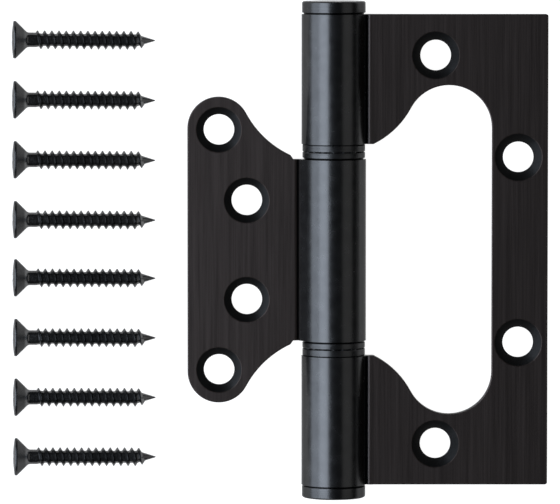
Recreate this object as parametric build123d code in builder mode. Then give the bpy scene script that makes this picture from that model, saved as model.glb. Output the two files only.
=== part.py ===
from build123d import *
import os
from math import acos, asin, atan2, copysign, cos, degrees, hypot, radians, sin, sqrt

# Non-mortise ball-bearing door hinge, laid open flat, with its eight wood screws beside it.
# Millimetres. The origin is the middle of the pin's axis. +Y runs along the pin, +X points out
# over the frame leaf, -X over the door leaf, and +Z is the countersunk front of both leaves.

# ---------------------------------------------------------------- driving dimensions
SHEET = 2.5                     # thickness of the steel sheet both leaves are stamped from
LEAF_HEIGHT = 100.0             # the frame leaf's height, which gives the hinge its nominal size
EDGE_ROUND = 0.2                # stamped edges are very slightly rounded
CORNER_R = 0.5                  # outer corners of the frame leaf, seen from the front

BARREL_R = 6.85                 # outside of the rolled knuckles
BORE_R = BARREL_R - SHEET       # inside of the rolled knuckles
DOOR_KNUCKLE_END = 19.25        # the door leaf's knuckle reaches this far either side of Y = 0
FRAME_KNUCKLE_START = 22.5      # the frame leaf's knuckles run from here to the leaf's ends
SEAM_SLOPE = 35.0               # degrees, slope of the seam where a roll closes on its own leaf
SEAM_GAP = 0.62                 # width of the seam's mouth across the leaf's front
SEAM_DEPTH = 5.0                # length of the cut that opens the seam into the bore
SEAM_EDGE_R = 1.1               # the leaf's front edge rolls over into the seam
ROOT_R = 1.0                    # inside radius of the bend behind the leaf

# Both leaves share the centres of their curves, so the door leaf nests in the frame leaf's window.
LOBE_CENTRE = (24.42, 25.87)    # centre of the round end beside an outer screw hole
SHOULDER_CENTRE = (0.6, 38.57)  # centre of the hollow that runs from that lobe to the barrel

FRAME_EDGE = 45.4               # outer edge of the frame leaf, measured from the pin's axis
FRAME_SEAM = 6.78               # where the frame leaf's rolls end, beside the leaf
FRAME_ROOT = 8.3                # the flat of the frame leaf starts here
WINDOW_LOBE_R = 9.11
FRAME_HOLES = ((21.6, 41.3), (39.15, 19.7))    # each one at +Y and at -Y
FRAME_SINK_R = 5.1

DOOR_LOBE_R = 6.62
DOOR_SEAM = 7.4                 # the middle roll ends a little further out, and runs off straight
DOOR_ROOT = 8.6
DOOR_CUSP = 20.1                # below this height the door leaf steps back, beside the barrel
DOOR_HOLES = ((24.35, 25.53), (18.45, 10.55))  # each one at +Y and at -Y
DOOR_SINK_R = 4.88

HOLE_R = 3.25                   # screw holes, through
SINK_ANGLE = 90

PIN_R = 4.3                     # turns in the door leaf's knuckle with 0.05 mm of clearance
PIN_GRIP_START = 24.0           # outside this the pin is a press fit in the frame leaf's knuckles
PIN_END = 44.0
PIN_CHAMFER = 0.6

CAP_R = 6.75
CAP_TOP = 52.75
CAP_EDGE_R = 0.45
CAP_SEAT_R = 6.4                # a small seat holds the cap's rim just off the knuckle
CAP_SEAT = 0.3
CAP_LIP_R = 0.15                # the rim's edge beside that seat
CAP_STEM_END = 45.0

RACE_R = 6.65
RACE_BORE_R = 4.4
RACE_GAP = 0.11                 # running gap between the two races of a bearing
RACE_EDGE_R = 0.2
RACE_FOOT_R = 6.3               # a low foot holds each race's rim off its knuckle
FRAME_RACE_FOOT = 0.1
DOOR_RACE_FOOT = 0.3
BALL_R = 0.794                  # 1/16 inch balls
BALLS_PER_BEARING = 16
GROOVE_R = 0.82                 # leaves each ball 0.026 mm of clearance

SCREW_COUNT = 8
SCREW_SPACING = 12.76           # along Y, as the screws lie
SCREW_MIDDLE_GAP = 12.41        # between the two in the middle
SCREW_HEAD_X = -68.35           # the heads' faces
SCREW_YAW = -0.5                # degrees, the screws lie a hair off square
SCREW_LENGTH = 30.5
HEAD_R = 4.0
HEAD_DOME = 0.35                # height of the slightly bowed face
HEAD_RIM = 0.5                  # thickness of the head's rim
HEAD_CONE_END = 2.85
HEAD_CONE_R = 2.0
NECK_START = 3.7
NECK_R = 1.55
THREAD_PITCH = 1.53
THREAD_TURNS = 14               # full turns on the straight core
TIP_TURNS = 1.0                 # and on the tip
THREAD_FOOT = 1.2               # width of the ridge where it starts, inside the core
THREAD_SINK = 0.2               # depth of that foot below the core's surface
CREST_R = 2.0
CREST_FLAT = 0.1
CORE_R = 1.3
TIP_LENGTH = 4.0                # the screw comes to a point over this length
TIP_R = 0.12
RECESS_SPAN = 4.3               # cross recess, size 2
RECESS_SLOT = 1.0
RECESS_DEPTH = 2.0
RECESS_TAPER = 14

# Planes whose first axis points outward over one leaf, and whose second is +Y or +Z.
FRAME_PLAN = Plane.XY
DOOR_PLAN = Plane(origin=(0, 0, 0), x_dir=(-1, 0, 0), z_dir=(0, 0, -1))
FRAME_SECTION = Plane.XZ
DOOR_SECTION = Plane(origin=(0, 0, 0), x_dir=(-1, 0, 0), z_dir=(0, 1, 0))

os.makedirs("parts", exist_ok=True)


def save(builder, name):
    """Name a finished piece and write it as one STEP file."""
    builder.part.label = name
    export_step(builder.part, f"parts/{name}.step")


# ---------------------------------------------------------------- leaves
def knuckle_section(seam, root):
    """Sketch a roll of sheet round the pin, joined to its leaf behind and open at its seam in front."""
    mouth = (seam, SHEET / 2)
    leaf_edge = (seam + SEAM_GAP, SHEET / 2)
    step = (SEAM_DEPTH * cos(radians(SEAM_SLOPE)), SEAM_DEPTH * sin(radians(SEAM_SLOPE)))
    # The end of the roll leaves its circle along a tangent that runs down to the seam's mouth.
    leave = atan2(mouth[1], mouth[0]) + acos(BARREL_R / hypot(*mouth))
    tangent = (BARREL_R * cos(leave), BARREL_R * sin(leave))
    bend = (BARREL_R * cos(asin(SHEET / 2 / BARREL_R)), -SHEET / 2)

    Circle(BARREL_R)
    Rectangle(root, SHEET, align=(Align.MIN, Align.CENTER))
    Polygon((0, 0), mouth, tangent, align=None)
    Circle(BORE_R, mode=Mode.SUBTRACT)
    inner_edge = (leaf_edge[0] - step[0], leaf_edge[1] - step[1])
    inner_mouth = (mouth[0] - step[0], mouth[1] - step[1])
    Polygon(mouth, leaf_edge, inner_edge, inner_mouth, align=None, mode=Mode.SUBTRACT)
    fillet(vertices().sort_by_distance(bend)[0], ROOT_R)
    fillet(vertices().sort_by_distance(leaf_edge)[0], SEAM_EDGE_R)


def curved_edge(lobe_r, stop):
    """Draw a lobe's outer side, its round end and the hollow beside it, at +Y and at -Y.

    The hollow is tangent to the lobe and runs inward to the height stop. Returns its reach there.
    """
    between = Vector(*SHOULDER_CENTRE) - Vector(*LOBE_CENTRE)
    turn = degrees(atan2(between.Y, between.X))
    hollow_r = between.length - lobe_r
    drop = SHOULDER_CENTRE[1] - stop
    reach = sqrt(hollow_r**2 - drop**2)
    end = degrees(atan2(-drop, reach))
    for side in (1, -1):
        lobe = (LOBE_CENTRE[0], side * LOBE_CENTRE[1])
        shoulder = (SHOULDER_CENTRE[0], side * SHOULDER_CENTRE[1])
        Line((lobe[0] + lobe_r, 0), (lobe[0] + lobe_r, lobe[1]))
        CenterArc(lobe, lobe_r, 0, side * turn)
        CenterArc(shoulder, hollow_r, side * (turn - 180), side * (end - turn + 180))
    return SHOULDER_CENTRE[0] + reach


def screw_holes(plan, holes, sink_r):
    """Countersink a leaf's holes from the front."""
    for x, y in holes:
        outward = plan.x_dir.X * x
        with Locations((outward, y, SHEET / 2), (outward, -y, SHEET / 2)):
            CounterSinkHole(HOLE_R, sink_r, counter_sink_angle=SINK_ANGLE)


with BuildPart() as frame_leaf:
    with BuildSketch(FRAME_PLAN) as frame_flat:
        with Locations(((FRAME_ROOT + FRAME_EDGE) / 2, 0)):
            Rectangle(FRAME_EDGE - FRAME_ROOT, LEAF_HEIGHT)
        fillet(frame_flat.vertices().group_by(Axis.X)[-1], CORNER_R)
        with BuildLine():
            tab = curved_edge(WINDOW_LOBE_R, FRAME_KNUCKLE_START)
            Polyline(
                (tab, FRAME_KNUCKLE_START),
                (FRAME_ROOT, FRAME_KNUCKLE_START),
                (FRAME_ROOT, -FRAME_KNUCKLE_START),
                (tab, -FRAME_KNUCKLE_START),
            )
        make_face(mode=Mode.SUBTRACT)
    extrude(amount=SHEET / 2, both=True)
    rims = frame_leaf.faces().filter_by(Axis.Z).edges()
    fillet([edge for edge in rims if edge.center().X > tab], EDGE_ROUND)
    for start in (-LEAF_HEIGHT / 2, FRAME_KNUCKLE_START):
        with BuildSketch(FRAME_SECTION.offset(-start)):
            knuckle_section(FRAME_SEAM, FRAME_ROOT)
        extrude(amount=FRAME_KNUCKLE_START - LEAF_HEIGHT / 2)
    screw_holes(FRAME_PLAN, FRAME_HOLES, FRAME_SINK_R)
save(frame_leaf, "frame_leaf")

with BuildPart() as door_leaf:
    with BuildSketch(DOOR_PLAN):
        with BuildLine():
            cusp = curved_edge(DOOR_LOBE_R, DOOR_CUSP)
            Polyline(
                (cusp, DOOR_CUSP),
                (DOOR_ROOT, DOOR_KNUCKLE_END),
                (DOOR_ROOT, -DOOR_KNUCKLE_END),
                (cusp, -DOOR_CUSP),
            )
        make_face()
    extrude(amount=SHEET / 2, both=True)
    rims = door_leaf.faces().filter_by(Axis.Z).edges()
    fillet([edge for edge in rims if edge.center().X < -cusp], EDGE_ROUND)
    with BuildSketch(DOOR_SECTION):
        knuckle_section(DOOR_SEAM, DOOR_ROOT)
    extrude(amount=DOOR_KNUCKLE_END, both=True)
    screw_holes(DOOR_PLAN, DOOR_HOLES, DOOR_SINK_R)
save(door_leaf, "door_leaf")


# ---------------------------------------------------------------- pin and caps
with BuildPart() as hinge_pin:
    with BuildSketch(Plane.XY):
        with BuildLine():
            Polyline(
                (0, -PIN_END),
                (BORE_R - PIN_CHAMFER, -PIN_END),
                (BORE_R, PIN_CHAMFER - PIN_END),
                (BORE_R, -PIN_GRIP_START),
                (PIN_R, -PIN_GRIP_START),
                (PIN_R, PIN_GRIP_START),
                (BORE_R, PIN_GRIP_START),
                (BORE_R, PIN_END - PIN_CHAMFER),
                (BORE_R - PIN_CHAMFER, PIN_END),
                (0, PIN_END),
                close=True,
            )
        make_face()
    revolve(axis=Axis.Y)
save(hinge_pin, "hinge_pin")


def barrel_cap(name, side):
    """A round cap whose stem is pressed into the open end of a frame knuckle."""
    end = side * LEAF_HEIGHT / 2
    seat_top = end + side * CAP_SEAT
    with BuildPart() as cap:
        with BuildSketch(Plane.XY):
            with BuildLine():
                Polyline(
                    (0, side * CAP_STEM_END),
                    (BORE_R, side * CAP_STEM_END),
                    (BORE_R, end),
                    (CAP_SEAT_R, end),
                    (CAP_SEAT_R, seat_top),
                    (CAP_R, seat_top),
                    (CAP_R, side * CAP_TOP),
                    (0, side * CAP_TOP),
                    close=True,
                )
            make_face()
            rim = vertices().sort_by_distance((CAP_R, side * CAP_TOP))[0]
            fillet(rim, CAP_EDGE_R)
            lip = vertices().sort_by_distance((CAP_R, seat_top))[0]
            fillet(lip, CAP_LIP_R)
        revolve(axis=Axis.Y)
    save(cap, name)


barrel_cap("top_cap", 1)
barrel_cap("bottom_cap", -1)


# ---------------------------------------------------------------- ball bearings
RACE_THICKNESS = (FRAME_KNUCKLE_START - DOOR_KNUCKLE_END - RACE_GAP) / 2
BEARING_Y = (FRAME_KNUCKLE_START + DOOR_KNUCKLE_END) / 2
BALL_CIRCLE_R = (RACE_R + RACE_BORE_R) / 2


def bearing_race(name, bearing_y, face, foot):
    """A grooved washer on the side of its bearing that face points to, +1 or -1 along Y."""
    near_y = bearing_y + face * RACE_GAP / 2
    far_y = near_y + face * RACE_THICKNESS
    with BuildPart() as race:
        with BuildSketch(Plane.XY):
            with Locations(((RACE_R + RACE_BORE_R) / 2, (near_y + far_y) / 2)):
                Rectangle(RACE_R - RACE_BORE_R, RACE_THICKNESS)
            with Locations(((RACE_R + RACE_FOOT_R) / 2, far_y - face * foot / 2)):
                Rectangle(RACE_R - RACE_FOOT_R, foot, mode=Mode.SUBTRACT)
            fillet(vertices().group_by(Axis.X)[-1], RACE_EDGE_R)
            with Locations((BALL_CIRCLE_R, bearing_y)):
                Circle(GROOVE_R, mode=Mode.SUBTRACT)
        revolve(axis=Axis.Y)
    save(race, name)


def bearing_balls(prefix, bearing_y):
    """One ball to each place round the pin."""
    for number in range(BALLS_PER_BEARING):
        angle = radians(360 * number / BALLS_PER_BEARING)
        place = (BALL_CIRCLE_R * cos(angle), bearing_y, BALL_CIRCLE_R * sin(angle))
        with BuildPart() as ball:
            with Locations(place):
                Sphere(BALL_R)
        save(ball, f"{prefix}_{number + 1:02d}")


bearing_race("upper_frame_race", BEARING_Y, 1, FRAME_RACE_FOOT)
bearing_race("upper_door_race", BEARING_Y, -1, DOOR_RACE_FOOT)
bearing_race("lower_door_race", -BEARING_Y, 1, DOOR_RACE_FOOT)
bearing_race("lower_frame_race", -BEARING_Y, -1, FRAME_RACE_FOOT)
bearing_balls("upper_ball", BEARING_Y)
bearing_balls("lower_ball", -BEARING_Y)


# ---------------------------------------------------------------- wood screws
# One screw is made along +Z, with its face at the origin, and copied to where each one lies.
TIP_START = SCREW_LENGTH - TIP_LENGTH
THREAD_START = TIP_START - THREAD_TURNS * THREAD_PITCH
TIP_ANGLE = degrees(atan2(CORE_R - TIP_R, TIP_LENGTH))


def thread_ridge(start, turns, cone_angle=0):
    """A ridge of thread that winds forward from start, on the core or down the cone of the tip."""
    with BuildPart() as ridge:
        with BuildLine():
            helix = Helix(
                THREAD_PITCH,
                turns * THREAD_PITCH,
                CORE_R,
                center=(0, 0, start),
                cone_angle=cone_angle,
            )
        outward = helix @ 0 - Vector(0, 0, start)
        with BuildSketch(Plane(origin=helix @ 0, x_dir=outward, z_dir=helix % 0)):
            with BuildLine():
                Polyline(
                    (-THREAD_SINK, -THREAD_FOOT / 2),
                    (CREST_R - CORE_R, -CREST_FLAT / 2),
                    (CREST_R - CORE_R, CREST_FLAT / 2),
                    (-THREAD_SINK, THREAD_FOOT / 2),
                    close=True,
                )
            make_face()
        sweep(path=helix, is_frenet=True)
    return ridge.part


with BuildPart() as screw_body:
    with BuildSketch(Plane.XZ):
        with BuildLine():
            ThreePointArc((0, 0), (HEAD_R / 2, HEAD_DOME / 4), (HEAD_R, HEAD_DOME))
            Polyline(
                (HEAD_R, HEAD_DOME),
                (HEAD_R, HEAD_DOME + HEAD_RIM),
                (HEAD_CONE_R, HEAD_CONE_END),
            )
            Spline(
                (HEAD_CONE_R, HEAD_CONE_END),
                (NECK_R, NECK_START),
                tangents=((-1, 1), (0, 1)),
            )
            Polyline(
                (NECK_R, NECK_START),
                (NECK_R, THREAD_START),
                (CORE_R, THREAD_START + THREAD_PITCH),
                (CORE_R, TIP_START),
                (TIP_R, SCREW_LENGTH - TIP_R),
                (0, SCREW_LENGTH),
                (0, 0),
            )
        make_face()
        fillet(vertices().sort_by_distance((HEAD_R, HEAD_DOME))[0], HEAD_RIM / 2)
    revolve(axis=Axis.Z)
    add(thread_ridge(THREAD_START, THREAD_TURNS))
    add(thread_ridge(TIP_START, TIP_TURNS, cone_angle=-TIP_ANGLE))
    with BuildSketch(Plane.XY):
        Rectangle(RECESS_SPAN, RECESS_SLOT)
        Rectangle(RECESS_SLOT, RECESS_SPAN)
    extrude(amount=RECESS_DEPTH, taper=RECESS_TAPER, mode=Mode.SUBTRACT)

# A screw on its side touches the table with its head's rim and with its last full thread.
RIM_Z = HEAD_DOME + HEAD_RIM
SCREW_TILT = atan2(HEAD_R - CREST_R, TIP_START - RIM_Z)
SCREW_HEIGHT = HEAD_R * cos(SCREW_TILT) + RIM_Z * sin(SCREW_TILT) - BARREL_R

for number in range(SCREW_COUNT):
    from_middle = (SCREW_COUNT - 1) / 2 - number
    beyond = SCREW_MIDDLE_GAP / 2 + (abs(from_middle) - 0.5) * SCREW_SPACING
    place = (SCREW_HEAD_X, copysign(beyond, from_middle), SCREW_HEIGHT)
    yawed = Location(place, (0, 0, SCREW_YAW))
    lying = Location((0, 0, 0), (0, 90 + degrees(SCREW_TILT), 0))
    with BuildPart() as screw:
        with Locations(yawed * lying):
            add(screw_body.part)
    save(screw, f"wood_screw_{number + 1}")
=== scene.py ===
import bpy
from math import cos, radians, sin
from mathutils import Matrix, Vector


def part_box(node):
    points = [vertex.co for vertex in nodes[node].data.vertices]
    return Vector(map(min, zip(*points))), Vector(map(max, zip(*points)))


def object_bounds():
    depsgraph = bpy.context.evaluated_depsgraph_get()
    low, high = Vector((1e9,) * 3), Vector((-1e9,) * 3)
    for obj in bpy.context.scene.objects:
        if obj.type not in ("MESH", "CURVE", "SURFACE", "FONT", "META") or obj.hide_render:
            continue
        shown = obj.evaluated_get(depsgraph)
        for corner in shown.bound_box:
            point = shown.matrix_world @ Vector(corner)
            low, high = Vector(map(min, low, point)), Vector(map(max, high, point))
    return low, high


# A black door hinge laid open flat, and its wood screws, on a white table. Metres.
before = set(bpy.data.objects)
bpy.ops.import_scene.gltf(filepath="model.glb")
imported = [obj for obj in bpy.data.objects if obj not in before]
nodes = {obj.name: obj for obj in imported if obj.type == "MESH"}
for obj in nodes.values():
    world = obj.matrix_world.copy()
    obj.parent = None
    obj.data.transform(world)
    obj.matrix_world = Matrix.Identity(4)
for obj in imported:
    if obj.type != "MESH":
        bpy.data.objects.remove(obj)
cad_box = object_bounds()
scene = bpy.context.scene

# Pieces and measures that come from the frame.
SCREWS = sorted(name for name in nodes if name.startswith("wood_screw"))
BALLS = sorted(name for name in nodes if "_ball_" in name)
RACES = sorted(name for name in nodes if name.endswith("_race"))
TABLE_Z = cad_box[0].z
BARREL_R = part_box("door_leaf")[1].z
RACE_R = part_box("upper_door_race")[1].z
SCREW_FACE_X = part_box("wood_screw_1")[0].x

# Where one finish, or a painted shade, gives way to the next, as the first and last place of a short
# blend.
ROLL_ENDS = (BARREL_R + 0.0003, BARREL_R + 0.0009)      # out from the pin's axis
GROOVE_SHADE_ENDS = (RACE_R - 0.00025, RACE_R - 0.0002)        # out from the pin's axis; painted shade in the grooves lies inside this
SUNK_SHADE_ENDS = (0.00105, 0.00115)                           # off the pin's plane, just under a leaf's face; painted shade lies nearer the plane
HEAD_ENDS = (0.0026, 0.003)                             # along a screw from its face


# ---------------------------------------------------------------- shaders
class Shader:
    """A principled material, and short calls that add nodes to it. Places are in the row frame."""

    def __init__(self, name, settings=()):
        self.material = bpy.data.materials.new(name)
        self.material.use_nodes = True
        self.tree = self.material.node_tree
        self.surface = self.tree.nodes["Principled BSDF"]
        self.place = self.add("ShaderNodeTexCoord").outputs["Object"]
        for socket, value in dict(settings).items():
            self.set(socket, value)

    def add(self, kind, **settings):
        """A new node with these settings."""
        node = self.tree.nodes.new(kind)
        for name, value in settings.items():
            setattr(node, name, value)
        return node

    def join(self, source, socket):
        """Feed a socket from another one, or give it a plain value."""
        if isinstance(source, bpy.types.NodeSocket):
            self.tree.links.new(source, socket)
        else:
            socket.default_value = source

    def set(self, socket, source):
        """Give the surface a value or a socket of the tree."""
        self.join(source, self.surface.inputs[socket])

    def math(self, operation, first, second=0.0):
        """One sum of two values."""
        node = self.add("ShaderNodeMath", operation=operation)
        self.join(first, node.inputs[0])
        self.join(second, node.inputs[1])
        return node.outputs[0]

    def noise(self, grains, detail=3.0, place=None):
        """Noise with its own number of grains to the metre along each axis."""
        stretch = self.add("ShaderNodeVectorMath", operation="MULTIPLY")
        self.join(place or self.place, stretch.inputs[0])
        self.join(grains, stretch.inputs[1])
        texture = self.add("ShaderNodeTexNoise")
        self.join(stretch.outputs[0], texture.inputs["Vector"])
        self.join(1.0, texture.inputs["Scale"])
        self.join(detail, texture.inputs["Detail"])
        return texture.outputs["Fac"]

    def ramp(self, source, low, high, bottom=0.0, top=1.0):
        """Turn low..high into bottom..top, held at its ends."""
        node = self.add("ShaderNodeMapRange")
        values = {"Value": source, "From Min": low, "From Max": high, "To Min": bottom, "To Max": top}
        for socket, value in values.items():
            self.join(value, node.inputs[socket])
        return node.outputs["Result"]

    def mix(self, factor, first, second):
        """Blend two colours."""
        node = self.add("ShaderNodeMix", data_type="RGBA")
        colours = [socket for socket in node.inputs if socket.type == "RGBA"]
        self.join(factor, node.inputs[0])
        self.join(first, colours[0])
        self.join(second, colours[1])
        return next(socket for socket in node.outputs if socket.type == "RGBA")

    def bump(self, height, depth, strength):
        """Raise the surface by a height of 0 to 1 times this depth in metres."""
        node = self.add("ShaderNodeBump")
        self.join(height, node.inputs["Height"])
        self.join(depth, node.inputs["Distance"])
        self.join(strength, node.inputs["Strength"])
        self.set("Normal", node.outputs["Normal"])

    def split(self):
        """The place's X, Y and Z."""
        node = self.add("ShaderNodeSeparateXYZ")
        self.join(self.place, node.inputs[0])
        return node

    def round_the_pin(self):
        """The distance from the pin's axis, and the place along it, as one flat place."""
        split = self.split()
        squares = [self.math("POWER", split.outputs[axis], 2.0) for axis in ("X", "Z")]
        reach = self.math("SQRT", self.math("ADD", *squares))
        flat = self.add("ShaderNodeCombineXYZ")
        self.join(reach, flat.inputs["X"])
        self.join(split.outputs["Y"], flat.inputs["Y"])
        return reach, flat.outputs[0]


def grey(level, red=1.0, blue=1.0):
    """A grey, with its red and its blue as these shares of the level."""
    return (level * red, level, level * blue, 1.0)


# A black coat on steel mirrors little light head on, and less at its edges than bare steel does.
BLACK_COAT = {"Metallic": 0.95, "Specular Tint": grey(0.5)}
BLACK_OXIDE = {"Metallic": 0.97, "Specular Tint": grey(0.5)}


def black_sheet():
    """Black-coated sheet steel: brushed on the flats, with painted shade darkening the countersinks,
    holes and edges below the leaf's face, smoother on the rolls.
    """
    shader = Shader("black_sheet", BLACK_COAT)
    reach, _ = shader.round_the_pin()
    off_plane = shader.math("ABSOLUTE", shader.split().outputs["Z"])
    # Painted shade: countersinks, holes and the sheet's edges, below the leaf's face, are coloured
    # darker.
    sunk_shade = shader.ramp(off_plane, *SUNK_SHADE_ENDS, 1.0, 0.0)
    rolled = shader.ramp(reach, *ROLL_ENDS, 1.0, 0.0)
    bands = shader.noise((900, 14, 900))
    lines = shader.noise((5200, 60, 5200), detail=2.0)
    cloud = shader.noise((420, 420, 420))
    brushed = shader.math("ADD", shader.math("MULTIPLY", bands, 0.4), shader.math("MULTIPLY", lines, 0.6))
    flat = shader.mix(shader.ramp(brushed, 0.36, 0.64), grey(0.031, 1.23, 0.91), grey(0.039, 1.23, 0.91))
    leaf = shader.mix(sunk_shade, flat, grey(0.018))
    roll = shader.mix(shader.ramp(cloud, 0.35, 0.65), grey(0.045), grey(0.052))
    shader.set("Base Color", shader.mix(rolled, leaf, roll))
    flat_gloss = shader.ramp(brushed, 0.35, 0.65, 0.35, 0.41)
    roll_gloss = shader.ramp(cloud, 0.35, 0.65, 0.235, 0.275)
    smoother = shader.math("MULTIPLY", shader.math("SUBTRACT", roll_gloss, flat_gloss), rolled)
    shader.set("Roughness", shader.math("ADD", flat_gloss, smoother))
    shader.bump(lines, 4e-6, 0.4)
    return shader.material


def turned_steel(name, low_gloss, high_gloss):
    """Black-coated steel turned in a lathe: fine rings round the pin's axis, and painted shade, near
    black, in the grooves between the parts.
    """
    shader = Shader(name, BLACK_COAT)
    reach, flat = shader.round_the_pin()
    rings = shader.noise((5000, 5000, 0), detail=2.0, place=flat)
    cloud = shader.noise((420, 420, 420))
    # Painted shade: the grooves under the caps and between the races are coloured near black.
    groove_shade = shader.ramp(reach, *GROOVE_SHADE_ENDS, 1.0, 0.0)
    turned = shader.mix(shader.ramp(rings, 0.35, 0.65), grey(0.040), grey(0.048))
    shader.set("Base Color", shader.mix(groove_shade, turned, grey(0.002)))
    shader.set("Roughness", shader.ramp(cloud, 0.35, 0.65, low_gloss, high_gloss))
    shader.bump(rings, 3e-6, 0.5)
    return shader.material


def ground_steel():
    """The pin: bare steel, ground in a lathe."""
    shader = Shader("ground_steel", {"Metallic": 1.0})
    _, flat = shader.round_the_pin()
    rings = shader.noise((5000, 5000, 0), detail=2.0, place=flat)
    shader.set("Base Color", shader.mix(shader.ramp(rings, 0.35, 0.65), grey(0.42), grey(0.52)))
    shader.set("Roughness", shader.ramp(rings, 0.3, 0.7, 0.18, 0.28))
    return shader.material


def black_oxide():
    """The screws' black finish: glossy on the threads, darker and a little duller on the heads."""
    shader = Shader("black_oxide", BLACK_OXIDE)
    grain = shader.noise((2600, 2600, 2600))
    patch = shader.noise((240, 240, 240), detail=2.0)
    past_face = shader.math("SUBTRACT", shader.split().outputs["X"], SCREW_FACE_X)
    head = shader.ramp(past_face, *HEAD_ENDS, 1.0, 0.0)
    shank = shader.mix(shader.ramp(patch, 0.35, 0.65), grey(0.085), grey(0.13))
    shader.set("Base Color", shader.mix(head, shank, grey(0.055)))
    gloss = shader.ramp(grain, 0.3, 0.7, 0.15, 0.25)
    duller = shader.math("MULTIPLY", head, 0.10)
    shader.set("Roughness", shader.math("ADD", gloss, duller))
    shader.bump(grain, 8e-6, 0.5)
    return shader.material


def greased_steel():
    """Bearing balls under a dark film of grease."""
    shader = Shader("greased_steel")
    film = shader.noise((900, 900, 900), detail=2.0)
    shader.set("Base Color", shader.mix(shader.ramp(film, 0.35, 0.65), grey(0.010), grey(0.030)))
    shader.set("Roughness", shader.ramp(film, 0.3, 0.7, 0.25, 0.40))
    return shader.material


def paint(names, material):
    """Give these CAD pieces one finish."""
    for name in names:
        mesh = nodes[name].data
        mesh.materials.clear()
        mesh.materials.append(material)


paint(["frame_leaf", "door_leaf"], black_sheet())
paint(["top_cap", "bottom_cap"], turned_steel("black_cap", low_gloss=0.22, high_gloss=0.28))
paint(RACES, turned_steel("black_race", low_gloss=0.26, high_gloss=0.34))
paint(["hinge_pin"], ground_steel())
paint(BALLS, greased_steel())
paint(SCREWS, black_oxide())


# ---------------------------------------------------------------- table, lights and camera
TABLE_SIZE = 3.0
# The table's glow is a painted pool of light, full near the pin and fading outward.
TABLE_BRIGHT = 0.09             # the table is brightest out to here from the pin's middle
TABLE_DIM = 0.16                # and dimmer from here on
TABLE_GLOW = 1.0
TABLE_FAR_GLOW = 0.4
LIGHT_DISTANCE = 0.60           # from the pin to each light
LIGHT_LENGTH = 1.2              # each light is a long strip, in line with the pin
COOL = (0.77, 0.86, 1.0)
WHITE = (1.0, 1.0, 1.0)
CAMERA_TILT = radians(4.0)      # the camera stands a little towards the top cap
CAMERA_DISTANCE = 1.2
VIEW_WIDTH = 0.1189             # across the picture, at the height of the leaves
VIEW_CENTRE = Vector((-0.0114, -0.0005, 0))


def white_table():
    """A plain pale floor under the hinge that glows white, with a painted pool of light: brightest round
    the hinge and dimmer further out.
    """
    shader = Shader("white_table", {"Roughness": 0.9})
    mottle = shader.noise((40, 40, 40), detail=2.0)
    shader.set("Base Color", shader.mix(mottle, grey(0.12), grey(0.15)))
    shader.set("Emission Color", grey(1.0))
    away = shader.add("ShaderNodeVectorMath", operation="LENGTH")
    shader.join(shader.place, away.inputs[0])
    # Painted pool of light: the table's own glow fades with distance from the pin's middle.
    painted_pool_glow = shader.ramp(away.outputs["Value"], TABLE_BRIGHT, TABLE_DIM, TABLE_GLOW, TABLE_FAR_GLOW)
    shader.set("Emission Strength", painted_pool_glow)
    bpy.ops.mesh.primitive_plane_add(size=TABLE_SIZE, location=(0, 0, TABLE_Z))
    table = bpy.context.object
    table.name = "table"
    table.data.materials.append(shader.material)


def softbox(name, lean, width, watts, colour):
    """A long soft light over the pin, leaning this many degrees from overhead towards +X."""
    light = bpy.data.lights.new(name, "AREA")
    light.shape = "RECTANGLE"
    light.size = width
    light.size_y = LIGHT_LENGTH
    light.energy = watts
    light.color = colour
    lamp = bpy.data.objects.new(name, light)
    lamp.location = Vector((sin(radians(lean)), 0, cos(radians(lean)))) * LIGHT_DISTANCE
    lamp.rotation_euler = (0, radians(lean), 0)
    scene.collection.objects.link(lamp)


def camera():
    """Look down on the hinge, with the pin's line upright in the picture."""
    data = bpy.data.cameras.new("camera")
    data.lens = data.sensor_width * CAMERA_DISTANCE / VIEW_WIDTH
    holder = bpy.data.objects.new("camera", data)
    back = Vector((0, sin(CAMERA_TILT), cos(CAMERA_TILT)))
    holder.location = VIEW_CENTRE + back * CAMERA_DISTANCE
    holder.rotation_euler = (-CAMERA_TILT, 0, 0)
    scene.collection.objects.link(holder)
    scene.camera = holder


white_table()
softbox("key", lean=-37, width=0.38, watts=9.4, colour=COOL)
softbox("side", lean=-72, width=0.34, watts=5.0, colour=COOL)
softbox("fill", lean=50, width=0.40, watts=0.70, colour=WHITE)
camera()

world = bpy.data.worlds.new("studio")
world.use_nodes = True
world.node_tree.nodes["Background"].inputs["Color"].default_value = grey(0.02)
scene.world = world
scene.view_settings.view_transform = "Standard"
